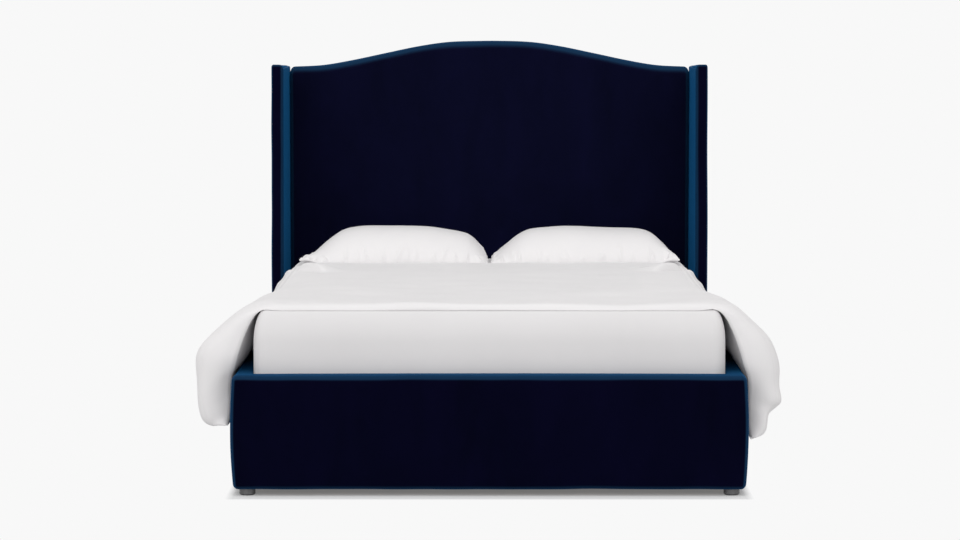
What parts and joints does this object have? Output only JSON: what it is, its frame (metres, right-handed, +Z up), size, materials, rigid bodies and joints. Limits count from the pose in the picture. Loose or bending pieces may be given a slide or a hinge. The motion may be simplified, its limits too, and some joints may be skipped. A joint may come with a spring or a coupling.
{
  "type": "wingback bed",
  "caption": "Padded velvet wingback bed with an arched headboard, straight wings and a low box base, made up with a mattress, fitted sheet, duvet and pillows.",
  "frame": {"origin": "on the floor, under the middle of the bed's outline", "axes": "+Z up, +Y from the foot end to the headboard, +X to the right seen from the foot end"},
  "size_m": [1.9128, 2.192, 1.4398],
  "materials": {
    "velvet": "velvet pile, dark navy",
    "plywood": "matte",
    "timber": "matte",
    "zinc_steel": "satin",
    "black_steel": "satin",
    "webbing": "matte",
    "black_plastic": "matte",
    "foot_finish": "satin",
    "felt": "matte",
    "mattress_ticking": "matte",
    "white_cotton": "matte"
  },
  "bodies": {
    "bed_frame": {"headboard_cover": "velvet", "headboard_face_board": "plywood", "headboard_posts": "timber", "headboard_cross_rails": "timber", "headboard_back_cover": "velvet", "wing_cover_left": "velvet", "wing_cover_right": "velvet", "wing_board_left": "plywood", "wing_board_right": "plywood", "wing_bolts": "zinc_steel", "wing_washers": "zinc_steel", "side_rail_board_left": "plywood", "side_rail_board_right": "plywood", "side_rail_cover_left": "velvet", "side_rail_cover_right": "velvet", "footboard_board": "plywood", "footboard_cover": "velvet", "corner_brackets": "black_steel", "bracket_bolts": "zinc_steel", "slat_bearer_left": "timber", "slat_bearer_right": "timber", "bearer_screws": "zinc_steel", "slats": "timber", "slat_straps": "webbing", "centre_beam": "timber", "beam_hangers": "black_steel", "centre_legs": "timber", "leg_bolts": "zinc_steel", "leg_glides": "black_plastic", "feet": "foot_finish", "foot_pads": "felt", "foot_studs": "zinc_steel", "foot_tee_nuts": "zinc_steel"},
    "mattress_body": {"mattress": "mattress_ticking", "fitted_sheet": "white_cotton"},
    "duvet_body": {"duvet": "white_cotton"},
    "pillow_left_body": {"pillow_left": "white_cotton"},
    "pillow_right_body": {"pillow_right": "white_cotton"}
  },
  "joints": [
    {"name": "mattress_lift", "type": "slide", "parent": "bed_frame", "child": "mattress_body", "axis": [0, 0, 1], "range_m": [0, 0.35]},
    {"name": "duvet_lift", "type": "slide", "parent": "mattress_body", "child": "duvet_body", "axis": [0, 0, 1], "range_m": [0, 0.45]},
    {"name": "pillow_left_lift", "type": "slide", "parent": "mattress_body", "child": "pillow_left_body", "axis": [0, 0, 1], "range_m": [0, 0.25]},
    {"name": "pillow_right_lift", "type": "slide", "parent": "mattress_body", "child": "pillow_right_body", "axis": [0, 0, 1], "range_m": [0, 0.25]}
  ]
}
